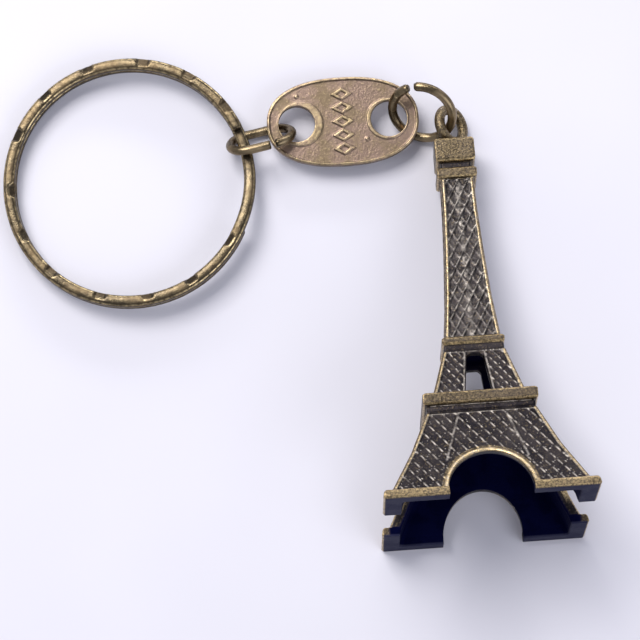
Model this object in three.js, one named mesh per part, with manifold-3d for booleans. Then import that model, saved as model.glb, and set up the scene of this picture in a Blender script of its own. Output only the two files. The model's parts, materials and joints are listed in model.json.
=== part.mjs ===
// A souvenir keychain: a split key ring, an oval wire link, a cast tag, a round jump ring and a hollow
// cast lattice tower with a hanging loop. Millimetres, +X from ring to tower, +Y from the tower's base
// to its top, +Z up. The chain lies at rest on the plane z = 0.
import * as THREE from "three";
import { mergeVertices } from "three/addons/utils/BufferGeometryUtils.js";
import Module from "manifold-3d";

const wasm = await Module();
wasm.setup();

const DEG = Math.PI / 180;

// Key ring: two coils of rounded flat wire with a single strand between the two cut ends.
const RING_RADIUS = 15.0;
const RING_WIRE_WIDTH = 1.4;
const RING_WIRE_HEIGHT = 1.1;
const RING_WIRE_CORNER = 0.4;
const RING_COIL_GAP = 0.06;
const RING_UPPER_END = 26 * DEG;
const RING_LOWER_END = -23 * DEG;
const RING_RAMP_START = 8 * DEG;
const RING_TILT = 3.3 * DEG;
const RING_CENTRE = new THREE.Vector2(-23.15, 18.4);

// Oval link of round wire, with an open gap in its front leg.
const LINK_WIRE = 1.1;
const LINK_WIDTH = 5.4;
const LINK_LENGTH = 8.6;
const LINK_GAP_FROM = 0.9;
const LINK_GAP_TO = 1.5;
const LINK_TILT = 54.4 * DEG;
const LINK_HEADING = 14 * DEG;
const LINK_CENTRE = new THREE.Vector3(-7.6, 23.62, 2.3);

// Cast tag: oval plate with two holes, an outer rim and a rim round each hole.
const TAG_LENGTH = 18.1;
const TAG_WIDTH = 10.7;
const TAG_THICK = 1.0;
const TAG_FIELD = 0.75;
const TAG_RIM = 0.45;
const TAG_HOLE_RADIUS = 2.17;
const TAG_EYE_RIM = 0.6;
const TAG_HOLE_OFFSET = 5.5;
const TAG_OUTLINE_POWER = 2.35;
const TAG_HEADING = 3.7 * DEG;
const TAG_CENTRE = new THREE.Vector3(2.107, 25.83, 1.52);
const MOTIF_COUNT = 5;
const MOTIF_PITCH = 1.65;
const MOTIF_HALF_LENGTH = 0.95;
const MOTIF_HALF_WIDTH = 0.42;
const MOTIF_TOP = 0.95;

// Jump ring of round wire, with a small open gap.
const JUMP_WIRE = 1.1;
const JUMP_RADIUS = 3.65;
const JUMP_GAP = 13 * DEG;
const JUMP_GAP_AT = 216 * DEG;
const JUMP_CENTRE = new THREE.Vector3(11.52, 26.67, 3.36);
const JUMP_TILT = 50.2 * DEG;
const JUMP_TILT_HEADING = -110.5 * DEG;

// Tower: heights are measured from the base plane, half widths from the axis.
const FOOT_HEIGHT = 1.06;
const FOOT_HALF = 11.95;
const FOOT_TOP_HALF = 11.8;
const LEG_TOP = 11.0;
const LEG_PROFILE = [
  [FOOT_HEIGHT, 10.9],
  [6.0, 8.3],
  [LEG_TOP, 6.2],
];
const LEDGE_HALF = 6.1;
const LOWER_BAND = [12.0, 13.4];
const LOWER_BAND_HALF = 6.5;
const MID_TOP = 19.0;
const MID_PROFILE = [
  [LOWER_BAND[1], 5.2],
  [MID_TOP, 3.5],
];
const UPPER_LEDGE_HALF = 3.4;
const UPPER_BAND = [19.9, 20.8];
const UPPER_BAND_HALF = 3.6;
const COLLAR = [40.9, 42.2];
const SPIRE_PROFILE = [
  [UPPER_BAND[1], 3.15],
  [26.0, 2.6],
  [32.0, 2.2],
  [37.0, 1.96],
  [COLLAR[0], 1.88],
];
const COLLAR_HALF = 2.36;
const GROOVE_TOP = 43.0;
const GROOVE_HALF = 1.93;
const CAP_TOP = 46.1;
const CAP_HALF = 2.35;
const CAP_ROUND = 0.6;
const WALL = 1.25;
const HOLLOW_MOUTH_HALF = 10.1;
const HOLLOW_TOP = 19.6;
const HOLLOW_TOP_HALF = 2.3;
const ARCH_HALF = 4.65;
const ARCH_HEIGHT = 4.9;
const ARCH_SPRING = 0.636;
const ARCH_RIM = 0.65;
const ARCH_RIM_PROUD = 0.25;
const WINDOW_BOTTOM = 13.7;
const WINDOW_TOP = 18.6;
const WINDOW_BOTTOM_HALF = 1.7;
const WINDOW_TOP_HALF = 0.95;
const LOOP_CENTRE = 48.4;
const LOOP_RADIUS = 2.02;
const LOOP_WIRE = 1.24;
const TOWER_PITCH = 11.32 * DEG;
const TOWER_HEADING = 4 * DEG;
const TOWER_LOOP_AT = new THREE.Vector3(15.01, 25.28, 2.22);

// How finely curves are divided.
const ROUND_SIDES = 10;
const LOOP_STEPS = 28;
const RING_STEPS = 112;
const LINK_STEPS = 48;
const LINK_BEND_STEPS = 8;
const JUMP_STEPS = 36;
const OVAL_POINTS = 48;

// How far joined solids sink into each other, how far cutters run past a surface, and how close two
// vertices are merged.
const SINK = 0.1;
const CLEAR = 1;
const MERGE = 1e-4;

const UP = new THREE.Vector3(0, 0, 1);
const SIDEWAYS = new THREE.Vector3(0, 1, 0);

// ---- solids ----------------------------------------------------------------

// A closed three.js geometry as a manifold-3d solid.
function solid(geometry) {
  const bare = geometry.clone();
  for (const name of ["normal", "uv"]) bare.deleteAttribute(name);
  const merged = mergeVertices(bare, MERGE);
  return new wasm.Manifold(
    new wasm.Mesh({
      numProp: 3,
      vertProperties: merged.attributes.position.array,
      triVerts: new Uint32Array(merged.index.array),
    }),
  );
}

// A manifold-3d solid back as a three.js geometry.
function geometryOf(body) {
  const mesh = body.getMesh();
  const geometry = new THREE.BufferGeometry();
  geometry.setAttribute("position", new THREE.BufferAttribute(mesh.vertProperties, 3));
  geometry.setIndex(new THREE.BufferAttribute(mesh.triVerts, 1));
  geometry.computeVertexNormals();
  return geometry;
}

function join(solids) {
  return solids.reduce((whole, next) => whole.add(next));
}

// A square frustum from height z0 with half width h0 to height z1 with half width h1.
function frustum(z0, h0, z1, h1) {
  const box = new THREE.BoxGeometry(2, 2, 1);
  const place = box.attributes.position;
  for (let i = 0; i < place.count; i++) {
    const top = place.getZ(i) > 0;
    const half = top ? h1 : h0;
    place.setXYZ(i, place.getX(i) * half, place.getY(i) * half, top ? z1 : z0);
  }
  return solid(box);
}

// Stacked frusta through a list of [height, half width].
function stack(profile) {
  return join(profile.slice(1).map(([z, h], i) => frustum(profile[i][0], profile[i][1], z, h)));
}

// A shape in the XZ plane, extruded along Y from -reach to +reach.
function across(shape, reach) {
  const geometry = new THREE.ExtrudeGeometry(shape, {
    depth: 2 * reach,
    bevelEnabled: false,
    curveSegments: ROUND_SIDES,
  });
  geometry.translate(0, 0, -reach);
  geometry.rotateX(Math.PI / 2);
  return solid(geometry);
}

// A round-wire solid along an open curve.
function wire(curve, diameter, steps) {
  const section = new THREE.Shape();
  section.absarc(0, 0, diameter / 2, 0, 2 * Math.PI);
  return new THREE.ExtrudeGeometry(section, {
    steps,
    bevelEnabled: false,
    curveSegments: ROUND_SIDES / 2,
    extrudePath: curve,
  });
}

// ---- key ring --------------------------------------------------------------

// The path runs clockwise from the lower coil's end through two coils to the upper coil's end.
class RingPath extends THREE.Curve {
  getPoint(t, target = new THREE.Vector3()) {
    const turn = 4 * Math.PI - (RING_UPPER_END - RING_LOWER_END);
    const angle = RING_LOWER_END - t * turn;
    const rampFrom = RING_RAMP_START - 2 * Math.PI;
    const rampTo = RING_LOWER_END - 2 * Math.PI;
    const climbed = THREE.MathUtils.smoothstep(-angle, -rampFrom, -rampTo);
    const radius = RING_RADIUS - RING_WIRE_WIDTH / 2;
    const lift = climbed * (RING_WIRE_HEIGHT + RING_COIL_GAP);
    return target.set(
      radius * Math.cos(angle),
      radius * Math.sin(angle),
      RING_WIRE_HEIGHT / 2 + lift,
    );
  }
}

function roundedRectangle(width, height, corner) {
  const x = width / 2;
  const y = height / 2;
  const shape = new THREE.Shape();
  shape.moveTo(x, -y + corner);
  shape.lineTo(x, y - corner);
  shape.absarc(x - corner, y - corner, corner, 0, Math.PI / 2);
  shape.lineTo(-x + corner, y);
  shape.absarc(-x + corner, y - corner, corner, Math.PI / 2, Math.PI);
  shape.lineTo(-x, -y + corner);
  shape.absarc(-x + corner, -y + corner, corner, Math.PI, 1.5 * Math.PI);
  shape.lineTo(x - corner, -y);
  shape.absarc(x - corner, -y + corner, corner, 1.5 * Math.PI, 2 * Math.PI);
  return shape;
}

function keyRing() {
  const section = roundedRectangle(RING_WIRE_HEIGHT, RING_WIRE_WIDTH, RING_WIRE_CORNER);
  return new THREE.ExtrudeGeometry(section, {
    steps: RING_STEPS,
    bevelEnabled: false,
    curveSegments: 1,
    extrudePath: new RingPath(),
  });
}

// ---- oval link -------------------------------------------------------------

// A stadium centre line in the XY plane that starts and ends at the gap in the leg at -Y.
function linkPath() {
  const arc = (LINK_WIDTH - LINK_WIRE) / 2;
  const reach = (LINK_LENGTH - LINK_WIRE) / 2 - arc;
  const path = new THREE.CurvePath();
  const line = (x0, y0, x1, y1) =>
    path.add(new THREE.LineCurve3(new THREE.Vector3(x0, y0, 0), new THREE.Vector3(x1, y1, 0)));
  const bend = (x, from) => {
    const at = (k) => {
      const angle = from + (k * Math.PI) / LINK_BEND_STEPS;
      return new THREE.Vector3(x + arc * Math.cos(angle), arc * Math.sin(angle), 0);
    };
    for (let k = 0; k < LINK_BEND_STEPS; k++) path.add(new THREE.LineCurve3(at(k), at(k + 1)));
  };
  line(LINK_GAP_TO, -arc, reach, -arc);
  bend(reach, -Math.PI / 2);
  line(reach, arc, -reach, arc);
  bend(-reach, Math.PI / 2);
  line(-reach, -arc, LINK_GAP_FROM, -arc);
  return path;
}

// ---- tag -------------------------------------------------------------------

function ovalShape(halfLength, halfWidth) {
  const corner = 2 / TAG_OUTLINE_POWER;
  const points = [];
  for (let k = 0; k < OVAL_POINTS; k++) {
    const angle = (k * 2 * Math.PI) / OVAL_POINTS;
    const c = Math.cos(angle);
    const s = Math.sin(angle);
    const x = halfLength * Math.sign(c) * Math.abs(c) ** corner;
    const y = halfWidth * Math.sign(s) * Math.abs(s) ** corner;
    points.push(new THREE.Vector2(x, y));
  }
  return new THREE.Shape(points);
}

function plate(shape, from, to) {
  const geometry = new THREE.ExtrudeGeometry(shape, {
    depth: to - from,
    bevelEnabled: false,
    curveSegments: ROUND_SIDES,
  });
  return solid(geometry.translate(0, 0, from));
}

function lozenge(y) {
  const shape = new THREE.Shape();
  shape.moveTo(MOTIF_HALF_LENGTH, y);
  shape.lineTo(0, y + MOTIF_HALF_WIDTH);
  shape.lineTo(-MOTIF_HALF_LENGTH, y);
  shape.lineTo(0, y - MOTIF_HALF_WIDTH);
  return plate(shape, TAG_FIELD - SINK, MOTIF_TOP);
}

function tag() {
  const blank = ovalShape(TAG_LENGTH / 2, TAG_WIDTH / 2);
  const rim = ovalShape(TAG_LENGTH / 2, TAG_WIDTH / 2);
  const inner = ovalShape(TAG_LENGTH / 2 - TAG_RIM, TAG_WIDTH / 2 - TAG_RIM);
  rim.holes.push(new THREE.Path(inner.getPoints().reverse()));
  const raised = [plate(blank, 0, TAG_FIELD), plate(rim, TAG_FIELD - SINK, TAG_THICK)];
  const holes = [];
  for (const side of [-TAG_HOLE_OFFSET, TAG_HOLE_OFFSET]) {
    const eye = new THREE.Shape().absarc(side, 0, TAG_HOLE_RADIUS + TAG_EYE_RIM, 0, 2 * Math.PI);
    raised.push(plate(eye, TAG_FIELD - SINK, TAG_THICK));
    const hole = new THREE.Shape().absarc(side, 0, TAG_HOLE_RADIUS, 0, 2 * Math.PI);
    holes.push(plate(hole, -CLEAR, TAG_THICK + CLEAR));
  }
  for (let k = 0; k < MOTIF_COUNT; k++)
    raised.push(lozenge((k - (MOTIF_COUNT - 1) / 2) * MOTIF_PITCH));
  return join(raised).subtract(join(holes));
}

// ---- jump ring -------------------------------------------------------------

class JumpPath extends THREE.Curve {
  getPoint(t, target = new THREE.Vector3()) {
    const angle = JUMP_GAP_AT + JUMP_GAP / 2 + t * (2 * Math.PI - JUMP_GAP);
    return target.set(JUMP_RADIUS * Math.cos(angle), JUMP_RADIUS * Math.sin(angle), 0);
  }
}

// ---- tower -----------------------------------------------------------------

function archShape(grow) {
  const half = ARCH_HALF + grow;
  const rise = ARCH_HEIGHT + grow;
  const shape = new THREE.Shape();
  shape.moveTo(half, -CLEAR - ARCH_SPRING);
  shape.lineTo(half, 0);
  shape.absellipse(0, 0, half, rise, 0, Math.PI);
  shape.lineTo(-half, -CLEAR - ARCH_SPRING);
  return shape;
}

// One arch runs from front to back and one from side to side; each springs from within the foot bands.
function arches(grow, reach) {
  const one = across(archShape(grow), reach).translate([0, 0, ARCH_SPRING]);
  return one.add(one.rotate([0, 0, 90]));
}

function windows() {
  const shape = new THREE.Shape();
  shape.moveTo(WINDOW_BOTTOM_HALF, WINDOW_BOTTOM);
  shape.lineTo(WINDOW_TOP_HALF, WINDOW_TOP);
  shape.lineTo(-WINDOW_TOP_HALF, WINDOW_TOP);
  shape.lineTo(-WINDOW_BOTTOM_HALF, WINDOW_BOTTOM);
  const one = across(shape, FOOT_HALF);
  return one.add(one.rotate([0, 0, 90]));
}

function cap() {
  return stack([
    [GROOVE_TOP, CAP_HALF],
    [CAP_TOP - CAP_ROUND, CAP_HALF],
    [CAP_TOP - CAP_ROUND / 3, CAP_HALF - CAP_ROUND / 3],
    [CAP_TOP, CAP_HALF - CAP_ROUND],
  ]);
}

// The loop stands in the plane through the axis and one diagonal of the cap.
function loop() {
  const torus = new THREE.TorusGeometry(LOOP_RADIUS, LOOP_WIRE / 2, ROUND_SIDES, LOOP_STEPS);
  torus.rotateX(Math.PI / 2);
  torus.rotateZ(45 * DEG);
  torus.translate(0, 0, LOOP_CENTRE);
  return solid(torus);
}

function tower() {
  const legs = stack(LEG_PROFILE);
  const rims = arches(ARCH_RIM, FOOT_HALF).intersect(
    stack(LEG_PROFILE.map(([z, h]) => [z, h + ARCH_RIM_PROUD])),
  );
  const outer = join([
    frustum(0, FOOT_HALF, FOOT_HEIGHT, FOOT_TOP_HALF),
    legs,
    rims,
    frustum(LEG_TOP, LEDGE_HALF, LOWER_BAND[0], LEDGE_HALF),
    frustum(LOWER_BAND[0], LOWER_BAND_HALF, LOWER_BAND[1], LOWER_BAND_HALF),
    stack(MID_PROFILE),
    frustum(MID_TOP, UPPER_LEDGE_HALF, UPPER_BAND[0], UPPER_LEDGE_HALF),
    frustum(UPPER_BAND[0], UPPER_BAND_HALF, UPPER_BAND[1], UPPER_BAND_HALF),
    stack(SPIRE_PROFILE),
    frustum(COLLAR[0], COLLAR_HALF, COLLAR[1], COLLAR_HALF),
    frustum(COLLAR[1], GROOVE_HALF, GROOVE_TOP, GROOVE_HALF),
    cap(),
    loop(),
  ]);
  const hollow = stack([
    [-CLEAR, HOLLOW_MOUTH_HALF],
    ...LEG_PROFILE.map(([z, h]) => [z, h - WALL]),
    [LOWER_BAND[1], MID_PROFILE[0][1] - WALL],
    [HOLLOW_TOP, HOLLOW_TOP_HALF],
  ]);
  return outer.subtract(hollow).subtract(arches(0, FOOT_HALF + CLEAR)).subtract(windows());
}

// ---- assembly --------------------------------------------------------------

function metal(color, roughness) {
  return new THREE.MeshStandardMaterial({ color, roughness, metalness: 1 });
}

function piece(name, geometry, material) {
  const mesh = new THREE.Mesh(geometry, material);
  mesh.name = name;
  return mesh;
}

const keychain = new THREE.Group();

const ring = piece("key_ring", keyRing(), metal(0x6e5a33, 0.4));
ring.rotation.y = -RING_TILT;
ring.position.set(RING_CENTRE.x, RING_CENTRE.y, RING_RADIUS * Math.sin(RING_TILT));
keychain.add(ring);

const link = piece("oval_link", wire(linkPath(), LINK_WIRE, LINK_STEPS), metal(0x6b5730, 0.4));
link.rotation.set(-LINK_TILT, 0, LINK_HEADING, "ZYX");
link.position.copy(LINK_CENTRE);
keychain.add(link);

const plateTag = piece("tag", geometryOf(tag()), metal(0x7a6250, 0.5));
plateTag.rotation.z = TAG_HEADING;
plateTag.position.copy(TAG_CENTRE);
keychain.add(plateTag);

const jump = piece("jump_ring", wire(new JumpPath(), JUMP_WIRE, JUMP_STEPS), metal(0x5c4a2a, 0.4));
jump.quaternion
  .setFromAxisAngle(UP, JUMP_TILT_HEADING)
  .multiply(new THREE.Quaternion().setFromAxisAngle(SIDEWAYS, JUMP_TILT));
jump.position.copy(JUMP_CENTRE);
keychain.add(jump);

// The tower lies on its back: its axis goes from +Z to the chain's +Y, tilted so that its top is low.
const casting = piece("tower", geometryOf(tower()), metal(0x4a3f2a, 0.5));
casting.rotation.set(-Math.PI / 2 - TOWER_PITCH, 0, TOWER_HEADING, "ZYX");
const loopOffset = new THREE.Vector3(0, 0, LOOP_CENTRE).applyEuler(casting.rotation);
casting.position.copy(TOWER_LOOP_AT).sub(loopOffset);
keychain.add(casting);

// The origin is at the middle of the bottom of the whole keychain.
const extent = new THREE.Box3().setFromObject(keychain, true);
const middle = extent.getCenter(new THREE.Vector3());
keychain.position.set(-middle.x, -middle.y, -extent.min.z);
const model = new THREE.Group().add(keychain);

export default model;
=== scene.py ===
"""A souvenir keychain in antique bronze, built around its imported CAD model.

Fine meshes are made in millimetres in each piece's own frame and placed where the CAD node lies:
a hammered split ring, a wire link, a cast tag, a jump ring and a hollow cast lattice tower.
"""
import json
import math

import bpy
import numpy as np
from mathutils import Matrix, Vector
from mathutils.geometry import tessellate_polygon


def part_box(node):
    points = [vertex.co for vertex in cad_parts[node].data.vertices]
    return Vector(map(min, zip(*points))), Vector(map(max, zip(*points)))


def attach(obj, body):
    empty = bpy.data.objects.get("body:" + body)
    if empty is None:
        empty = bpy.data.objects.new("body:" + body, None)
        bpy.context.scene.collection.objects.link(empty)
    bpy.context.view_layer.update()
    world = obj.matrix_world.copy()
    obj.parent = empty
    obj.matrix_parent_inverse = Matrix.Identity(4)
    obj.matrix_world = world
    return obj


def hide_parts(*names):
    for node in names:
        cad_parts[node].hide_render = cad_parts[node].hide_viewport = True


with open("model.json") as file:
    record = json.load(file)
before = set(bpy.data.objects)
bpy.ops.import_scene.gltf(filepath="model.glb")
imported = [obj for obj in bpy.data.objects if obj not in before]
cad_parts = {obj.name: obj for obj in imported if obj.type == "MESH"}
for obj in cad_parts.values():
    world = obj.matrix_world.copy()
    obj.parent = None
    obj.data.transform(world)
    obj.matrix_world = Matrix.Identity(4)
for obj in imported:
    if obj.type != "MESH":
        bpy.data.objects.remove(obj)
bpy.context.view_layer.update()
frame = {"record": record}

MM = 0.001

# Turns of each piece from its own frame into the model's frame, in degrees.
RING_TILT = 3.3
LINK_TILT, LINK_HEADING = 54.4, 14.0
TAG_HEADING = 3.7
JUMP_TILT, JUMP_HEADING = 50.2, -110.5
TOWER_PITCH, TOWER_HEADING = 11.32, 4.0

# Key ring, in millimetres.
RING_RADIUS = 15.0
RING_WIDTH, RING_HEIGHT = 1.4, 1.1
RING_POWER = 3.0
RING_STEPS, RING_SIDES = 1500, 28
COIL_GAP = 0.06
UPPER_END, LOWER_END, RAMP_START = 26.0, -23.0, 8.0

# Oval link and jump ring.
WIRE = 1.1
LINK_WIDTH, LINK_LENGTH = 5.4, 8.6
LINK_GAP = (0.9, 1.5)
JUMP_RADIUS = 3.65
JUMP_GAP, JUMP_GAP_AT = 13.0, 216.0

# Tag.
TAG_LENGTH, TAG_WIDTH, TAG_THICK, TAG_FIELD = 18.1, 10.7, 1.0, 0.84
TAG_POWER = 2.35
HOLE_RADIUS, HOLE_OFFSET = 2.17, 5.5

# Tower: heights from the base plane and half widths from the axis.
FOOT = (1.06, 11.95)
FOOT_TOP_HALF = 11.8
ARCH_HALF, ARCH_RISE, ARCH_BASE = 4.65, 4.9, 0.636
WALL = 1.25
HOLLOW_TOP, HOLLOW_TOP_HALF = 19.6, 2.3
LEGS = [(1.06, 10.75), (6.0, 8.17), (11.0, 6.07)]
MIDDLE = [(13.4, 5.07), (19.0, 3.4)]
SPIRE = [(20.8, 3.03), (26.0, 2.48), (32.0, 2.08), (37.0, 1.84), (40.9, 1.76)]
WINDOW = [(13.7, 1.5), (18.6, 0.95)]
LOOP_CENTRE, LOOP_RADIUS, LOOP_WIRE = 48.4, 2.02, 1.24
LOOP_STEPS, LOOP_SIDES = 64, 24
RIB_PROUD = 0.15
SOFT_PROUD = 0.115

# Bands round the tower: lower height, upper height and half width.
GALLERY = (12.0, 13.4, 6.5)
UPPER_GALLERY = (19.9, 20.8, 3.6)
NECK_BAND = (40.92, 42.2, 2.36)
CAP = (43.0, 46.1, 2.35)
NECK_HALF = 1.75
SILL = [(11.02, 6.0), (11.3, 6.12), (11.75, 6.12), (11.95, 5.9)]
UPPER_SILL = [(19.02, 3.3), (19.2, 3.45), (19.7, 3.45), (19.88, 3.2)]

# How fine the cast skins are.
TOWER_VOXEL = 0.085
TAG_VOXEL = 0.06


# ---- mesh helpers -----------------------------------------------------------

class Shells:
    """Closed shells collected into one mesh."""

    def __init__(self):
        self.verts = []
        self.faces = []

    def add(self, verts, faces):
        start = len(self.verts)
        self.verts.extend(tuple(v) for v in verts)
        self.faces.extend(tuple(start + i for i in face) for face in faces)

    def make(self, name):
        mesh = bpy.data.meshes.new(name)
        mesh.from_pydata(self.verts, [], self.faces)
        mesh.update()
        obj = bpy.data.objects.new(name, mesh)
        bpy.context.scene.collection.objects.link(obj)
        return obj


def tube(sections):
    """Verts and faces of a closed tube through equal sections, with flat ends."""
    size = len(sections[0])
    verts = [p for section in sections for p in section]
    faces = []
    for i in range(len(sections) - 1):
        for j in range(size):
            k = (j + 1) % size
            faces.append((i * size + j, i * size + k, (i + 1) * size + k, (i + 1) * size + j))
    last = (len(sections) - 1) * size
    faces.append(tuple(reversed(range(size))))
    faces.append(tuple(range(last, last + size)))
    return verts, faces


def prism(outline, holes, low, high):
    """Verts and faces of a flat plate with holes; outline and holes are lists of (x, y)."""
    loops = [[Vector((x, y, 0)) for x, y in ring] for ring in [outline, *holes]]
    flat = [p for ring in loops for p in ring]
    count = len(flat)
    verts = [(p.x, p.y, low) for p in flat] + [(p.x, p.y, high) for p in flat]
    faces = []
    for a, b, c in tessellate_polygon(loops):
        turn = (flat[b] - flat[a]).cross(flat[c] - flat[a]).z
        if turn < 0:
            a, c = c, a
        faces.append((a + count, b + count, c + count))
        faces.append((c, b, a))
    start = 0
    for index, ring in enumerate(loops):
        area = sum(p.x * q.y - q.x * p.y for p, q in zip(ring, ring[1:] + ring[:1]))
        forward = (area > 0) == (index == 0)
        for i in range(len(ring)):
            a, b = start + i, start + (i + 1) % len(ring)
            side = (a, b, b + count, a + count)
            faces.append(side if forward else tuple(reversed(side)))
        start += len(ring)
    return verts, faces


def apply_modifiers(obj):
    graph = bpy.context.evaluated_depsgraph_get()
    mesh = bpy.data.meshes.new_from_object(obj.evaluated_get(graph))
    obj.modifiers.clear()
    obj.data = mesh
    return obj


def cut(obj, cutters):
    """Takes each cutter's solid away from obj and removes the cutters."""
    for cutter in cutters:
        step = obj.modifiers.new("cut", "BOOLEAN")
        step.operation = "DIFFERENCE"
        step.solver = "EXACT"
        step.object = cutter
    apply_modifiers(obj)
    for cutter in cutters:
        bpy.data.objects.remove(cutter)
    return obj


def absorb(shells, obj):
    """Adds an object's mesh to the shells and removes the object."""
    shells.add([v.co for v in obj.data.vertices], [tuple(p.vertices) for p in obj.data.polygons])
    bpy.data.objects.remove(obj)


def fuse(obj, voxel, smoothing):
    """Joins overlapping shells into one soft cast skin."""
    skin = obj.modifiers.new("skin", "REMESH")
    skin.mode = "VOXEL"
    skin.voxel_size = voxel
    skin.use_smooth_shade = True
    if smoothing:
        soft = obj.modifiers.new("soft", "SMOOTH")
        soft.factor = 0.5
        soft.iterations = smoothing
    return apply_modifiers(obj)


def coordinates(obj):
    co = np.empty(len(obj.data.vertices) * 3, np.float32)
    obj.data.vertices.foreach_get("co", co)
    return co.reshape(-1, 3)


def store(obj, name, values):
    """Keeps one number for each vertex, for the materials to read."""
    attribute = obj.data.attributes.new(name, "FLOAT", "POINT")
    attribute.data.foreach_set("value", np.asarray(values, np.float32))


def smoothstep(low, high, value):
    t = np.clip((value - low) / (high - low), 0, 1)
    return t * t * (3 - 2 * t)


def turned(**degrees):
    """A rotation from its Z, Y and X angles, applied X first."""
    made = Matrix.Identity(4)
    for axis in "ZYX":
        made = made @ Matrix.Rotation(math.radians(degrees.get(axis, 0)), 4, axis)
    return made


def place(obj, turn, origin):
    """Puts a mesh made in millimetres into the model's frame, in metres."""
    obj.data.transform(Matrix.Translation(origin) @ turn @ Matrix.Scale(MM, 4))
    for face in obj.data.polygons:
        face.use_smooth = True
    obj.data.update()


def origin_from_mount(name, turn, local):
    """Where a piece's own origin lies, from a mount whose place in the piece is known."""
    mount = next(m for m in frame["record"]["mounts"] if m["name"] == name)
    return Vector(mount["pos_m"]) - (turn @ Vector(local)) * MM


def box_centre(node):
    low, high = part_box(node)
    return (low + high) / 2


def finish_piece(obj, node, material):
    obj.data.materials.clear()
    obj.data.materials.append(material)
    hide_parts(node)
    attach(obj, node)


# ---- key ring ---------------------------------------------------------------

def ring_section():
    """A rounded flat-wire section as (radial, up) points round its middle."""
    points = []
    power = 2 / RING_POWER
    for k in range(RING_SIDES):
        angle = 2 * math.pi * k / RING_SIDES
        c, s = math.cos(angle), math.sin(angle)
        points.append((
            RING_WIDTH / 2 * math.copysign(abs(c) ** power, c),
            RING_HEIGHT / 2 * math.copysign(abs(s) ** power, s),
        ))
    return points


# Hammer blows, the same on both coils: flats on the inner top edge of the near half and on the
# outer top edge of the far half. Angles are in degrees, depths in millimetres.
DENT_COUNT, DENT_FIRST, DENT_SPACING = 13, -32.0, 24.3
DENT_HALF, DENT_RAMP = 2.0, 2.0
DENT_SHIFTS = (1.5, -1.2, 0.4)
DENT_DEPTHS = (0.28, 0.34, 0.25)
FACING_IN, FACING_OUT = 126.0, 62.0


def dents():
    made = []
    for k in range(DENT_COUNT):
        at = DENT_FIRST - DENT_SPACING * k + DENT_SHIFTS[k % 3]
        near = math.sin(math.radians(at)) < 0.15
        made.append((at, FACING_IN if near else FACING_OUT, DENT_DEPTHS[k % 3]))
    return made


DENTS = dents()


def hammered(points, around):
    """Flattens a section's points where a hammer blow lies at this angle round the ring."""
    made = []
    for radial, up in points:
        for at, facing, depth in DENTS:
            away = abs((around - at + 180) % 360 - 180)
            if away > DENT_HALF + DENT_RAMP:
                continue
            press = float(smoothstep(DENT_HALF + DENT_RAMP, DENT_HALF, away))
            nx, ny = math.cos(math.radians(facing)), math.sin(math.radians(facing))
            reach = max(px * nx + py * ny for px, py in points)
            excess = radial * nx + up * ny - (reach - depth * press)
            if excess > 0:
                radial -= nx * excess
                up -= ny * excess
        made.append((radial, up))
    return made


def ridge_wear_and_highlight(point, undented):
    """None in a dent, some on its edges and on the wire's rounded top, and most along the top
    corners; the dent edges and top corners are wear with painted highlight, the rounded top is a
    painted highlight.
    """
    moved = math.dist(point, undented)
    if moved > 0.01:
        return 0.45 * float(smoothstep(0.16, 0.06, moved))
    u, v = undented
    # Top corners of the upper side: worn edges with a painted highlight.
    corner = 4 * abs(u) * max(v, 0) / (RING_WIDTH * RING_HEIGHT)
    # Painted highlight along the rounded top of the wire.
    crown_highlight = float(smoothstep(0.8, 0.1, 2 * abs(u) / RING_WIDTH)) if v > 0 else 0.0
    return max(0.15 * crown_highlight, 0.8 * float(smoothstep(0.54, 0.63, corner)))


def key_ring():
    shape = ring_section()
    turn = 720 - (UPPER_END - LOWER_END)
    radius = RING_RADIUS - RING_WIDTH / 2
    sections, worn = [], []
    for i in range(RING_STEPS + 1):
        gone = turn * i / RING_STEPS
        angle = LOWER_END - gone
        climbed = float(smoothstep(360 - RAMP_START, 360 - LOWER_END, -angle))
        lift = climbed * (RING_HEIGHT + COIL_GAP)
        around = angle % 360
        single = around > 360 + LOWER_END or around < UPPER_END - 2
        points = shape if single else hammered(shape, around)
        # Wear and painted highlights for each point of the section.
        worn += [ridge_wear_and_highlight(p, q) for p, q in zip(points, shape)]
        wander = 0.01 * math.sin(math.radians(around) * 11)
        end = min(gone, turn - gone) * math.pi / 180 * RING_RADIUS
        pinch = 1 - 0.12 * float(smoothstep(0.18, 0.0, end))
        c, s = math.cos(math.radians(angle)), math.sin(math.radians(angle))
        sections.append([
            ((radius + u * pinch) * c, (radius + u * pinch) * s,
             RING_HEIGHT / 2 + lift + v * (pinch + wander))
            for u, v in points
        ])
    shells = Shells()
    shells.add(*tube(sections))
    obj = shells.make("hammered_key_ring")
    # Here the raised attribute holds wear and painted highlights.
    store(obj, "raised", worn)
    turn_matrix = turned(Y=-RING_TILT)
    place(obj, turn_matrix, origin_from_mount("ring_underside", turn_matrix, (-radius, 0, 0)))
    return obj


# ---- wire pieces ------------------------------------------------------------

WIRE_SIDES = 24
LINK_STEP = 0.12
JUMP_STEPS = 170


def wire_sections(path, bevel, uneven):
    """Round sections along a flat path of points in the XY plane, with softened cut ends."""
    lengths = [0.0]
    for a, b in zip(path, path[1:]):
        lengths.append(lengths[-1] + math.dist(a, b))
    sections = []
    for i, (x, y) in enumerate(path):
        before, after = path[max(i - 1, 0)], path[min(i + 1, len(path) - 1)]
        run = math.hypot(after[0] - before[0], after[1] - before[1])
        nx, ny = (after[1] - before[1]) / run, (before[0] - after[0]) / run
        end = min(lengths[i], lengths[-1] - lengths[i])
        radius = WIRE / 2 * (1 - 0.22 * float(smoothstep(bevel, 0.0, end)))
        radius *= 1 - uneven * (0.5 + 0.5 * math.sin(lengths[i] * 3.1))
        sections.append([
            (x + radius * math.cos(a) * nx, y + radius * math.cos(a) * ny, radius * math.sin(a))
            for a in (2 * math.pi * k / WIRE_SIDES for k in range(WIRE_SIDES))
        ])
    return sections


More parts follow.
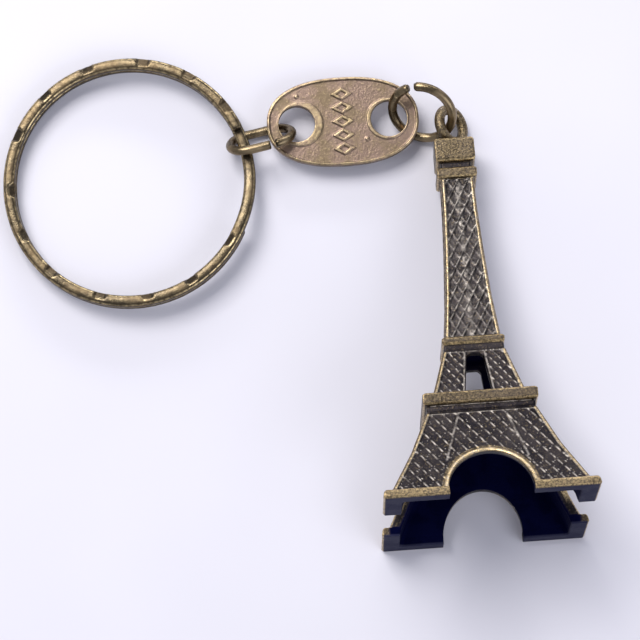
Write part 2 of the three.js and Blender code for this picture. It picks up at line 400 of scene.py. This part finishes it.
def densified(path, step):
    """The same path with points no further apart than a step."""
    made = [path[0]]
    for a, b in zip(path, path[1:]):
        parts = max(1, math.ceil(math.dist(a, b) / step))
        made += [(a[0] + (b[0] - a[0]) * k / parts, a[1] + (b[1] - a[1]) * k / parts)
                 for k in range(1, parts + 1)]
    return made


def oval_link():
    arc = (LINK_WIDTH - WIRE) / 2
    reach = (LINK_LENGTH - WIRE) / 2 - arc
    path = [(LINK_GAP[1], -arc)]
    for side, start in ((reach, -90), (-reach, 90)):
        path += [(side + arc * math.cos(math.radians(start + a)),
                  arc * math.sin(math.radians(start + a))) for a in range(0, 181, 6)]
    path.append((LINK_GAP[0], -arc))
    shells = Shells()
    shells.add(*tube(wire_sections(densified(path, LINK_STEP), bevel=0.14, uneven=0.02)))
    obj = shells.make("bent_oval_link")
    place(obj, turned(Z=LINK_HEADING, X=-LINK_TILT), box_centre("oval_link"))
    return obj


def jump_ring():
    first = JUMP_GAP_AT + JUMP_GAP / 2
    path = [(JUMP_RADIUS * math.cos(math.radians(first + a)),
             JUMP_RADIUS * math.sin(math.radians(first + a)))
            for a in np.linspace(0, 360 - JUMP_GAP, JUMP_STEPS)]
    shells = Shells()
    shells.add(*tube(wire_sections(path, bevel=0.3, uneven=0.015)))
    obj = shells.make("bent_jump_ring")
    place(obj, turned(Z=JUMP_HEADING) @ turned(Y=JUMP_TILT), box_centre("jump_ring"))
    return obj


# ---- tag --------------------------------------------------------------------

def oval(half_length, half_width, count=120):
    power = 2 / TAG_POWER
    points = []
    for k in range(count):
        c, s = math.cos(2 * math.pi * k / count), math.sin(2 * math.pi * k / count)
        points.append((half_length * math.copysign(abs(c) ** power, c),
                       half_width * math.copysign(abs(s) ** power, s)))
    return points


def circle(x, y, radius, count=64):
    angles = [2 * math.pi * k / count for k in range(count)]
    return [(x + radius * math.cos(a), y + radius * math.sin(a)) for a in angles]


RIM_WIDTH, RIM_CREST = 0.32, 0.18
RIM_TOP = TAG_THICK - 0.07
BACK_EASE = 0.09
# How far raised relief reaches down into the plate.
ROOT = 0.1
# Each eye's collar: which side of the tag, how far it is off centre, and its width.
COLLARS = [(-1, 0.42, 0.52), (1, 0.16, 0.3)]
MOTIF_COUNT, MOTIF_PITCH = 5, 1.66
MOTIF_LENGTH, MOTIF_WIDTH = 1.3, 0.74
MOTIF_WALL = 0.32
MOTIF_TOP = TAG_THICK - 0.02
PIPS = [(-5.35, 3.35), (2.75, -2.3)]
PIP_RADIUS, PIP_TOP = 0.2, TAG_THICK - 0.06


def lozenge(y, length, width):
    return [(length, y), (0, y + width), (-length, y), (0, y - width)]


def tag():
    long, wide = TAG_LENGTH / 2, TAG_WIDTH / 2
    eyes = [circle(side, 0, HOLE_RADIUS) for side in (-HOLE_OFFSET, HOLE_OFFSET)]
    low = TAG_FIELD - ROOT
    inner = oval(long - RIM_WIDTH, wide - RIM_WIDTH)
    shells = Shells()
    shells.add(*prism(oval(long - BACK_EASE, wide - BACK_EASE), eyes, 0, TAG_FIELD))
    shells.add(*prism(oval(long, wide), eyes, BACK_EASE, TAG_FIELD))
    shells.add(*prism(oval(long, wide), [inner], low, RIM_TOP))
    shells.add(*prism(oval(long - RIM_CREST, wide - RIM_CREST), [inner], low, TAG_THICK))
    for (side, shift, width), eye in zip(COLLARS, eyes):
        outline = circle(side * (HOLE_OFFSET - shift), 0, HOLE_RADIUS + width)
        shells.add(*prism(outline, [eye], low, RIM_TOP))
    for k in range(MOTIF_COUNT):
        y = (k - (MOTIF_COUNT - 1) / 2) * MOTIF_PITCH
        middle = lozenge(y, MOTIF_LENGTH - 2 * MOTIF_WALL, MOTIF_WIDTH - MOTIF_WALL)
        shells.add(*prism(lozenge(y, MOTIF_LENGTH, MOTIF_WIDTH), [middle], low, MOTIF_TOP))
    for x, y in PIPS:
        shells.add(*prism(circle(x, y, PIP_RADIUS, 20), [], low, PIP_TOP))
    obj = fuse(shells.make("cast_tag"), TAG_VOXEL, smoothing=2)
    up = coordinates(obj)[:, 2]
    store(obj, "raised", smoothstep(TAG_FIELD + 0.02, TAG_THICK - 0.05, up))
    turn = turned(Z=TAG_HEADING)
    place(obj, turn, origin_from_mount("tag_back", turn, (0, 0, 0)))
    return obj


# ---- tower ------------------------------------------------------------------

CORNER_POINTS = 4


def square_level(z, half, corner):
    """One level of a square stack, with rounded corners."""
    corner = min(corner, half * 0.45)
    points = []
    for quarter in range(4):
        for k in range(CORNER_POINTS):
            angle = math.radians(90 * quarter + 90 * k / (CORNER_POINTS - 1))
            centre = half - corner
            sx = 1 if quarter in (0, 3) else -1
            sy = 1 if quarter in (0, 1) else -1
            points.append((sx * centre + corner * math.cos(angle),
                           sy * centre + corner * math.sin(angle), z))
    return points


def stack(levels, corner):
    """A closed square stack through (height, half width) levels."""
    return tube([square_level(z, half, corner) for z, half in levels])


def band(low, high, half, soft=0.22):
    """Levels of a raised band with softened edges."""
    return [(low, half - soft), (low + soft, half), (high - soft, half), (high, half - soft)]


def foot_levels():
    height, half = FOOT
    return [(0.0, half - 0.25), (0.25, half - 0.04), (height - 0.25, FOOT_TOP_HALF),
            (height, FOOT_TOP_HALF - 0.2)]


def cap_levels():
    low, high, half = CAP
    soft = 0.5
    return [(low, half - 0.35), (low + 0.12, half - 0.13), (low + 0.4, half), (high - soft, half),
            (high - soft * 0.3, half - 0.15), (high, half - soft)]


def body_levels():
    """The tower's outline from the foot up."""
    stages = [*foot_levels(), *LEGS, *SILL, *band(*GALLERY)]
    stages += [*MIDDLE, *UPPER_SILL, *band(*UPPER_GALLERY)]
    stages += [*SPIRE, *band(*NECK_BAND)]
    neck = [(NECK_BAND[1] + 0.02, NECK_HALF), (CAP[0] - 0.02, NECK_HALF)]
    return stages + neck + cap_levels()


def half_at(height, profile):
    return float(np.interp(height, [z for z, _ in profile], [h for _, h in profile]))


def on_face(side, across, height, out, profile):
    """A point on one of the four faces: across it, up it, and out from it."""
    half = half_at(height, profile) + out
    x, y = across, -half
    for _ in range(side):
        x, y = -y, x
    return Vector((x, y, height))


def ridge(shells, side, line, profile, width, proud, sunk=0.2):
    """A raised rib along a line of (across, height) points on one face.

    proud is one height, or one for each point of the line.
    """
    heights = proud if isinstance(proud, list) else [proud] * len(line)
    sections = []
    for i, (u, z) in enumerate(line):
        u0, z0 = line[max(i - 1, 0)]
        u1, z1 = line[min(i + 1, len(line) - 1)]
        run = math.hypot(u1 - u0, z1 - z0)
        du, dz = (z1 - z0) / run * width / 2, -(u1 - u0) / run * width / 2
        sections.append([
            on_face(side, u - du, z - dz, -sunk, profile),
            on_face(side, u + du, z + dz, -sunk, profile),
            on_face(side, u + du * 0.9, z + dz * 0.9, heights[i] * 0.35, profile),
            on_face(side, u + du * 0.4, z + dz * 0.4, heights[i], profile),
            on_face(side, u - du * 0.4, z - dz * 0.4, heights[i], profile),
            on_face(side, u - du * 0.9, z - dz * 0.9, heights[i] * 0.35, profile),
        ])
    shells.add(*tube(sections))


SAMPLES_PER_CELL = 16


def lattice(shells, profile, span, inside, cell, width, proud, strong, low_share):
    """Diamonds on all four faces, made of ridges kept to where inside(u, z) holds.

    cell is the diamond's width and height. Ridges that lean the strong way are cast as separate
    dashes, full height in the middle of each diamond's side; the others keep to the low share.
    """
    low, high = span
    wide, tall = cell
    step = tall / SAMPLES_PER_CELL
    reach = math.ceil(profile[0][1] / wide + (high - low) / tall) + 1
    last = int((high - low) / step)
    for side in range(4):
        for slope in (1, -1):
            for start in range(-reach, reach + 1):
                line, heights = [], []
                for k in range(last + 1):
                    z = low + k * step
                    u = (start + slope * k / SAMPLES_PER_CELL) * wide
                    if inside(u, z):
                        dash = math.sin(math.pi * (2 * k / SAMPLES_PER_CELL % 1)) ** 0.6
                        share = low_share + (1 - low_share) * dash if slope == strong else low_share
                        line.append((u, z))
                        heights.append(proud * share)
                    if line and (not inside(u, z) or k == last):
                        if len(line) > 2:
                            ridge(shells, side, line, profile, width, heights)
                        line, heights = [], []


def straight(a, b, count=14):
    return [(a[0] + (b[0] - a[0]) * k / count, a[1] + (b[1] - a[1]) * k / count)
            for k in range(count + 1)]


def in_arch(u, z, grow):
    return (u / (ARCH_HALF + grow)) ** 2 + (max(z - ARCH_BASE, 0) / (ARCH_RISE + grow)) ** 2 < 1


BORDER = 0.45
DIVIDER_TOP, DIVIDER_FOOT = (2.6, 10.95), (4.55, 4.6)
DIVIDER_WIDTH = 0.5
JAMB_WIDTH, JAMB_AWAY = 0.42, 0.2
ARCH_LIP, ARCH_LIP_WIDTH, ARCH_LIP_PROUD = 0.3, 0.62, 0.24
SPINE_WIDTH = 0.7
# Thin ribs across each face: height and the profile that they lie on.
CROSS_RIBS = [(10.85, LEGS), (18.88, MIDDLE), (13.5, MIDDLE)]
CROSS_WIDTH = 0.28
# Width and height of the lattice's diamonds.
LEG_CELL, MIDDLE_CELL, SPIRE_CELL = (1.36, 1.86), (0.98, 1.34), (1.18, 2.2)


def window_at(z):
    return half_at(z, WINDOW)


def upright_ribs(shells, side, hand):
    """One hand of a face: its corner borders, its divider and its window jamb."""
    inset = BORDER / 2 - 0.1
    for profile in (LEGS, MIDDLE, SPIRE):
        heights = np.linspace(profile[0][0], profile[-1][0], 40)
        edge = [(hand * (half_at(z, profile) - inset), z) for z in heights]
        ridge(shells, side, edge, profile, BORDER, RIB_PROUD + 0.03)
    top = (hand * DIVIDER_TOP[0], DIVIDER_TOP[1])
    foot = (hand * DIVIDER_FOOT[0], DIVIDER_FOOT[1])
    ridge(shells, side, straight(top, foot), LEGS, DIVIDER_WIDTH, SOFT_PROUD)
    heights = np.linspace(MIDDLE[0][0] + 0.05, MIDDLE[-1][0] - 0.05, 16)
    jamb = [(hand * (window_at(z) + JAMB_AWAY), z) for z in heights]
    ridge(shells, side, jamb, MIDDLE, JAMB_WIDTH, SOFT_PROUD)


def arch_lip(shells, side):
    """A thick rib round the arch's mouth."""
    line = []
    for a in range(4, 177, 4):
        c, s = math.cos(math.radians(a)), math.sin(math.radians(a))
        line.append(((ARCH_HALF + ARCH_LIP) * c, ARCH_BASE + (ARCH_RISE + ARCH_LIP) * s))
    ridge(shells, side, line, [(0.0, 11.45), *LEGS], ARCH_LIP_WIDTH, ARCH_LIP_PROUD, sunk=0.5)


def spine(shells, side):
    """The low uneven ridge up the middle of the spire."""
    count = 40
    line = [(0.0, z) for z in np.linspace(SPIRE[0][0], SPIRE[-1][0], count)]
    uneven = [0.06 + 0.04 * math.sin(i * 2.1) for i in range(count)]
    ridge(shells, side, line, SPIRE, SPINE_WIDTH, uneven)


def on_leg(u, z):
    return abs(u) < half_at(z, LEGS) - BORDER * 0.8 and not in_arch(u, z, 0.5)


def on_middle(u, z):
    return window_at(z) + 0.3 < abs(u) < half_at(z, MIDDLE) - BORDER * 0.7


def on_spire(u, z):
    return abs(u) < half_at(z, SPIRE) - BORDER * 0.7


def tower_reliefs(shells):
    for side in range(4):
        for hand in (-1, 1):
            upright_ribs(shells, side, hand)
        for z, profile in CROSS_RIBS:
            half = half_at(z, profile) - 0.1
            ridge(shells, side, straight((-half, z), (half, z)), profile, CROSS_WIDTH, SOFT_PROUD)
        arch_lip(shells, side)
        spine(shells, side)
    lattice(shells, LEGS, (1.1, 10.9), on_leg, LEG_CELL, width=0.27, proud=0.18,
            strong=-1, low_share=0.2)
    lattice(shells, MIDDLE, (13.5, 18.9), on_middle, MIDDLE_CELL, width=0.24, proud=0.16,
            strong=-1, low_share=0.2)
    lattice(shells, SPIRE, (20.85, 40.9), on_spire, SPIRE_CELL, width=0.22, proud=0.14,
            strong=1, low_share=0.42)


def arch_cutter():
    outline = [(ARCH_HALF, -1.0)]
    for a in range(0, 181, 5):
        c, s = math.cos(math.radians(a)), math.sin(math.radians(a))
        outline.append((ARCH_HALF * c, ARCH_BASE + ARCH_RISE * s))
    outline.append((-ARCH_HALF, -1.0))
    return outline


def window_cutter():
    (low, wide), (high, narrow) = WINDOW
    corner_down, corner_in = 0.35, 0.4
    right = [(wide, low), (narrow, high - corner_down), (narrow - corner_in, high)]
    return right + [(-u, z) for u, z in reversed(right)]


CUT_REACH = 13.0


def through(outline, across_x):
    """A cutter that runs an outline right through the tower, front to back or side to side."""
    verts, faces = prism(outline, [], -CUT_REACH, CUT_REACH)
    # The prism's own up is the cutter's run, and its y is the tower's height.
    if across_x:
        verts = [(z, x, y) for x, y, z in verts]
    else:
        verts = [(-x, z, y) for x, y, z in verts]
    shells = Shells()
    shells.add(verts, faces)
    return shells.make("cutter")


def hollow():
    """The space inside, open under the foot; the walls are a little thinner than the CAD's."""
    wall, foot_wall = WALL - 0.1, WALL + 0.55
    levels = [(-1.0, FOOT[1] - foot_wall), (FOOT[0], LEGS[0][1] - wall)]
    levels += [(z, half - wall) for z, half in LEGS[1:]]
    levels += [(MIDDLE[0][0], MIDDLE[0][1] - wall), (HOLLOW_TOP, HOLLOW_TOP_HALF)]
    shells = Shells()
    shells.add(*stack(levels, 0.5))
    return shells.make("hollow")


def ring_loop():
    """The hanging loop, a thick cast ring in the plane of the cap's diagonal."""
    diagonal = math.sqrt(0.5)
    verts, faces = [], []
    for i in range(LOOP_STEPS):
        a = 2 * math.pi * i / LOOP_STEPS
        after = (i + 1) % LOOP_STEPS
        for j in range(LOOP_SIDES):
            b = 2 * math.pi * j / LOOP_SIDES
            r, t = LOOP_RADIUS + LOOP_WIRE / 2 * math.cos(b), LOOP_WIRE / 2 * math.sin(b)
            along, up = r * math.cos(a), r * math.sin(a)
            verts.append(((along - t) * diagonal, (along + t) * diagonal, LOOP_CENTRE + up))
            k = (j + 1) % LOOP_SIDES
            faces.append((i * LOOP_SIDES + j, after * LOOP_SIDES + j,
                          after * LOOP_SIDES + k, i * LOOP_SIDES + k))
    return verts, faces


def directions(obj):
    """The outward direction at each vertex."""
    found = np.empty(len(obj.data.vertices) * 3, np.float32)
    obj.data.vertex_normals.foreach_get("vector", found)
    return found.reshape(-1, 3)


def within(value, low, high, soft=0.08):
    return smoothstep(low - soft, low, value) * smoothstep(high + soft, high, value)


# The bands' lower and upper heights, and how much gold shows on their faces; their edges are
# worn fully.
GOLD_BANDS = [(0.0, FOOT[0], 0.12), (*GALLERY[:2], 0.15), (*UPPER_GALLERY[:2], 0.15),
              (SPIRE[-1][0], NECK_BAND[1], 0.2), (*CAP[:2], 0.22)]
# The spire's faces are rubbed paler than the legs', and its low lines still more.
SPIRE_RUBBED, SPIRE_LINES = 0.08, 0.34
BAR_GOLD, CORNER_GOLD, LOOP_GOLD = 0.34, 0.75, 0.4
GROUND_STEP = 0.01
BAND_MARGIN = 0.1


def level(low, high, half):
    """A stretch of even ground that ends just under the upper height."""
    return [(low, half), (high - GROUND_STEP, half)]


def ground_levels():
    """The half width that relief is measured from at each height."""
    low, high, half = GALLERY
    upper_low, upper_high, upper_half = UPPER_GALLERY
    neck_top = NECK_BAND[2] + BAND_MARGIN
    return [
        (0.0, FOOT[1]), (FOOT[0], FOOT[1]), (FOOT[0] + GROUND_STEP, LEGS[0][1]), *LEGS[1:],
        *level(LEGS[-1][0] + GROUND_STEP, low, SILL[1][1]),
        *level(low, high, half + BAND_MARGIN),
        *MIDDLE,
        *level(MIDDLE[-1][0] + GROUND_STEP, upper_low, UPPER_SILL[1][1]),
        *level(upper_low, upper_high, upper_half + BAND_MARGIN),
        *SPIRE,
        *level(SPIRE[-1][0] + GROUND_STEP, NECK_BAND[1] + GROUND_STEP, neck_top),
        *level(NECK_BAND[1] + GROUND_STEP, CAP[0], NECK_HALF + 0.2),
        (CAP[0], neck_top),
    ]


def gold_marks(obj, reach, across, ground, raised, corner):
    """Where the tower is worn to gold: bands, foot bars, corners, arches and loop."""
    height = coordinates(obj)[:, 2]
    edge = smoothstep(0.97, 0.84, np.abs(directions(obj)).max(axis=1))
    gold = raised * corner * CORNER_GOLD
    for low, high, share in GOLD_BANDS:
        gold = np.maximum(gold, (share + (1 - share) * edge) * within(height, low, high))
    bar = within(height, 0.1, FOOT[0]) * smoothstep(FOOT[1] - 0.4, FOOT[1] - 0.15, reach)
    gold = np.maximum(gold, BAR_GOLD * bar)
    rise = np.maximum(height - ARCH_BASE, 0) / (ARCH_RISE + ARCH_LIP)
    ring = (across / (ARCH_HALF + ARCH_LIP)) ** 2 + rise ** 2
    arch = within(ring, 0.86, 1.14) * (reach > ground - 0.5) * (height < 7)
    gold = np.maximum(gold, arch * np.maximum(raised, 0.6 * edge))
    return np.maximum(gold, LOOP_GOLD * smoothstep(CAP[1] - 0.1, CAP[1] + 0.3, height))


def tower_marks(obj):
    """Stores each point's wear as raised metal, its gold, and where shade is painted: inside the
    hollow or under the foot.
    """
    co = coordinates(obj)
    reach = np.maximum(np.abs(co[:, 0]), np.abs(co[:, 1]))
    across = np.minimum(np.abs(co[:, 0]), np.abs(co[:, 1]))
    height = co[:, 2]
    levels = ground_levels()
    ground = np.interp(height, [z for z, _ in levels], [half for _, half in levels])
    raised = smoothstep(0.07, RIB_PROUD, reach - ground)
    corner = smoothstep(0.32, 0.12, ground - across)
    lines = smoothstep(0.015, 0.075, reach - ground)
    rubbed = (SPIRE_RUBBED + SPIRE_LINES * lines) * within(height, SPIRE[0][0], SPIRE[-1][0])
    store(obj, "raised", np.maximum(raised * (1 - 0.8 * corner), rubbed))
    store(obj, "gold", gold_marks(obj, reach, across, ground, raised, corner))
    # Painted shade: the hollow inside and the soles under the foot are marked to be painted
    # near-black.
    inside = smoothstep(0.75, 1.1, ground - reach) * (height < HOLLOW_TOP + 0.5)
    shaded_sole = smoothstep(0.3, 0.12, height) * smoothstep(FOOT[1] - 0.1, FOOT[1] - 0.35, reach)
    store(obj, "inside", np.maximum(inside, shaded_sole))
    store(obj, "shaded_sole", shaded_sole)


def tower():
    shells = Shells()
    shells.add(*stack(body_levels(), 0.16))
    body = shells.make("body")
    cut(body, [hollow(), through(arch_cutter(), False), through(arch_cutter(), True),
               through(window_cutter(), False), through(window_cutter(), True)])
    whole = Shells()
    absorb(whole, body)
    tower_reliefs(whole)
    whole.add(*ring_loop())
    obj = fuse(whole.make("cast_tower"), TOWER_VOXEL, smoothing=1)
    tower_marks(obj)
    turn = turned(Z=TOWER_HEADING, X=-90 - TOWER_PITCH)
    place(obj, turn, origin_from_mount("tower_foot", turn, (11.2, 11.2, 0)))
    return obj


# ---- materials --------------------------------------------------------------

class Nodes:
    """Short calls for building one material."""

    def __init__(self, name):
        self.material = bpy.data.materials.new(name)
        self.material.use_nodes = True
        self.tree = self.material.node_tree
        self.shader = self.tree.nodes["Principled BSDF"]

    def add(self, kind, **values):
        node = self.tree.nodes.new(kind)
        for key, value in values.items():
            setattr(node, key, value)
        return node

    def link(self, source, target):
        self.tree.links.new(source, target)
        return target

    def noise(self, scale, detail=3.0, roughness=0.55):
        place_node = self.add("ShaderNodeTexCoord")
        node = self.add("ShaderNodeTexNoise")
        node.inputs["Scale"].default_value = scale
        node.inputs["Detail"].default_value = detail
        node.inputs["Roughness"].default_value = roughness
        self.link(place_node.outputs["Object"], node.inputs["Vector"])
        return node.outputs["Fac"]

    def remap(self, value, low, high, out_low=0.0, out_high=1.0):
        node = self.add("ShaderNodeMapRange", interpolation_type="SMOOTHSTEP")
        node.inputs["From Min"].default_value = low
        node.inputs["From Max"].default_value = high
        node.inputs["To Min"].default_value = out_low
        node.inputs["To Max"].default_value = out_high
        self.link(value, node.inputs["Value"])
        return node.outputs["Result"]

    def math(self, operation, a, b, clamp=False):
        node = self.add("ShaderNodeMath", operation=operation, use_clamp=clamp)
        for socket, value in zip(node.inputs, (a, b)):
            if isinstance(value, (int, float)):
                socket.default_value = value
            else:
                self.link(value, socket)
        return node.outputs["Value"]

    def blend(self, factor, a, b):
        node = self.add("ShaderNodeMix", data_type="RGBA")
        self.link(factor, node.inputs["Factor"])
        for socket, value in ((node.inputs["A"], a), (node.inputs["B"], b)):
            if isinstance(value, tuple):
                socket.default_value = (*value, 1)
            else:
                self.link(value, socket)
        return node.outputs["Result"]

    def attribute(self, name):
        return self.add("ShaderNodeAttribute", attribute_name=name).outputs["Fac"]

    def pointiness(self):
        return self.add("ShaderNodeNewGeometry").outputs["Pointiness"]


DENT_OLIVE = (0.060, 0.048, 0.034)
WIRE_OLIVE = (0.160, 0.122, 0.072)
DARK_BROWN = (0.016, 0.014, 0.017)
GREY_BROWN = (0.036, 0.031, 0.033)
BROWN = (0.092, 0.066, 0.040)
OLD_BRASS = (0.33, 0.25, 0.15)
PALE_GOLD = (0.64, 0.50, 0.28)
DEEP_GOLD = (0.60, 0.45, 0.235)
SILVER_GOLD = (0.53, 0.48, 0.43)
MAUVE_BROWN = (0.240, 0.170, 0.135)
OLIVE_BROWN = (0.172, 0.128, 0.084)
# Painted shade for the hollow inside the tower and for the soles.
CAVITY_SHADE = (0.003, 0.004, 0.032)


# How fine each pattern in the plate is, in waves per metre.
PATCH_SCALE, SPECK_SCALE, WEAR_SCALE, FLECK_SCALE, GRAIN_SCALE = 420, 4200, 1900, 4600, 2400
GRAIN_DEPTH = 0.00006


def bronze(name, base, patch, worn, wear, grain, rough, specks=0.2, gilded=None, inside=False):
    """Antique plate: a base colour with patches and specks, worn to bright metal where wear says.

    gilded is a second worn colour, for where the gold attribute says; inside paints shade into the
    hollow and onto the soles.
    """
    n = Nodes(name)
    cloud = n.remap(n.noise(PATCH_SCALE, 4), 0.38, 0.66)
    speck = n.noise(SPECK_SCALE, 3, 0.6)
    colour = n.blend(cloud, base, patch)
    bright = n.blend(n.remap(speck, 0.52, 0.74, 0.0, specks), colour, gilded or worn)
    breakup = n.remap(n.noise(WEAR_SCALE, 4), 0.34, 0.62, 0.1, 1.0)
    edge = n.math("MULTIPLY", wear(n), breakup, clamp=True)
    # Worn colour where the wear mask says; on the key ring that mask also holds painted highlights.
    colour = n.blend(edge, bright, worn)
    if gilded:
        flecked = n.remap(n.noise(FLECK_SCALE, 3, 0.65), 0.36, 0.66, 0.22, 1.15)
        edge = n.math("MULTIPLY", n.attribute("gold"), flecked, clamp=True)
        colour = n.blend(edge, colour, gilded)
    # Painted shade in the recesses, in place of ambient occlusion, together with dark patina:
    # concave places, found by pointiness, are multiplied darker.
    recess_shade = n.remap(n.pointiness(), 0.445, 0.495, 0.35, 1.0)
    shade = n.add("ShaderNodeMix", data_type="RGBA", blend_type="MULTIPLY")
    shade.inputs["Factor"].default_value = 1.0
    n.link(colour, shade.inputs["A"])
    n.link(recess_shade, shade.inputs["B"])
    colour = shade.outputs["Result"]
    dull = n.remap(cloud, 0, 1, rough, rough + 0.12)
    dull = n.math("SUBTRACT", dull, n.math("MULTIPLY", edge, 0.1))
    # Painted shade: the hollow and the soles get a near-black blue colour, more roughness and, on
    # the soles, little metal.
    if inside:
        hollow_shade = n.attribute("inside")
        colour = n.blend(hollow_shade, colour, CAVITY_SHADE)
        dull = n.math("ADD", dull, n.math("MULTIPLY", hollow_shade, 0.45), clamp=True)
        n.link(n.remap(n.attribute("shaded_sole"), 0, 1, 1.0, 0.1), n.shader.inputs["Metallic"])
    else:
        n.shader.inputs["Metallic"].default_value = 1.0
    n.link(colour, n.shader.inputs["Base Color"])
    n.link(dull, n.shader.inputs["Roughness"])
    bump = n.add("ShaderNodeBump")
    bump.inputs["Strength"].default_value = grain
    bump.inputs["Distance"].default_value = GRAIN_DEPTH
    coarse = n.math("MULTIPLY", n.noise(GRAIN_SCALE, 4), 0.9)
    n.link(n.math("ADD", speck, coarse), bump.inputs["Height"])
    n.link(bump.outputs["Normal"], n.shader.inputs["Normal"])
    return n.material


def edge_wear(low, high):
    return lambda n: n.remap(n.pointiness(), low, high)


def relief_wear(share, low, high):
    """Wear on raised relief and on sharp edges; on the key ring the raised attribute also carries
    painted highlights.
    """
    return lambda n: n.math("ADD", n.math("MULTIPLY", n.attribute("raised"), share),
                            n.remap(n.pointiness(), low, high), clamp=True)


# ---- stage ------------------------------------------------------------------

CAMERA_TARGET = Vector((0.0033, -0.0018, 0.0))
CAMERA_ELEVATION = 82.0
CAMERA_DISTANCE = 0.3025
CAMERA_LENS = 143.4


def camera():
    data = bpy.data.cameras.new("camera")
    data.lens = CAMERA_LENS
    data.sensor_width = 36.0
    data.clip_start, data.clip_end = 0.01, 20.0
    obj = bpy.data.objects.new("camera", data)
    bpy.context.scene.collection.objects.link(obj)
    rise = math.radians(CAMERA_ELEVATION)
    back = Vector((0, -math.cos(rise), math.sin(rise)))
    obj.location = CAMERA_TARGET + back * CAMERA_DISTANCE
    obj.rotation_euler = (math.radians(90 - CAMERA_ELEVATION), 0, 0)
    bpy.context.scene.camera = obj


def area_light(name, place_at, target, size, power, colour):
    data = bpy.data.lights.new(name, "AREA")
    data.shape = "RECTANGLE"
    data.size, data.size_y = size
    data.energy = power
    data.color = colour
    obj = bpy.data.objects.new(name, data)
    obj.location = place_at
    obj.rotation_euler = (Vector(target) - Vector(place_at)).to_track_quat("-Z", "Y").to_euler()
    bpy.context.scene.collection.objects.link(obj)


def stage():
    shells = Shells()
    reach = 1.5
    shells.add([(-reach, -reach, 0), (reach, -reach, 0), (reach, reach, 0), (-reach, reach, 0)],
               [(0, 1, 2, 3)])
    floor = shells.make("floor")
    n = Nodes("pale_floor")
    colour = n.blend(n.remap(n.noise(30, 2), 0.3, 0.7), (0.63, 0.62, 0.69), (0.65, 0.64, 0.71))
    n.link(colour, n.shader.inputs["Base Color"])
    n.shader.inputs["Roughness"].default_value = 0.55
    floor.data.materials.append(n.material)
    world = bpy.data.worlds.new("studio")
    bpy.context.scene.world = world
    world.use_nodes = True
    world.node_tree.nodes["Background"].inputs["Color"].default_value = (0.80, 0.82, 0.92, 1)
    world.node_tree.nodes["Background"].inputs["Strength"].default_value = 0.55
    centre = (0, 0, 0.005)
    area_light("key", (-0.25, 0.32, 0.55), centre, (0.35, 0.35), 4.5, (1.0, 0.98, 0.95))
    area_light("fill", (0.45, -0.35, 0.45), centre, (0.5, 0.4), 1.6, (0.92, 0.94, 1.0))
    area_light("strip", (0.1, 0.5, 0.2), centre, (0.5, 0.08), 1.0, (1.0, 1.0, 1.0))
    bpy.context.scene.view_settings.view_transform = "Standard"


# ---- the keychain -----------------------------------------------------------

wire_metal = bronze("wire_bronze", WIRE_OLIVE, OLD_BRASS, PALE_GOLD,
                    edge_wear(0.53, 0.60), grain=0.25, rough=0.25)
ring_metal = bronze("ring_bronze", DENT_OLIVE, BROWN, PALE_GOLD,
                    relief_wear(1.0, 0.64, 0.74), grain=0.3, rough=0.28, specks=0.1)
tag_metal = bronze("tag_bronze", MAUVE_BROWN, OLIVE_BROWN, PALE_GOLD,
                   relief_wear(0.5, 0.54, 0.62), grain=0.4, rough=0.34, specks=0.32)
tower_metal = bronze("tower_bronze", DARK_BROWN, GREY_BROWN, SILVER_GOLD,
                     relief_wear(0.8, 0.58, 0.68), grain=0.7, rough=0.36, specks=0.14,
                     gilded=DEEP_GOLD, inside=True)

finish_piece(key_ring(), "key_ring", ring_metal)
finish_piece(oval_link(), "oval_link", wire_metal)
finish_piece(tag(), "tag", tag_metal)
finish_piece(jump_ring(), "jump_ring", wire_metal)
finish_piece(tower(), "tower", tower_metal)

stage()
camera()
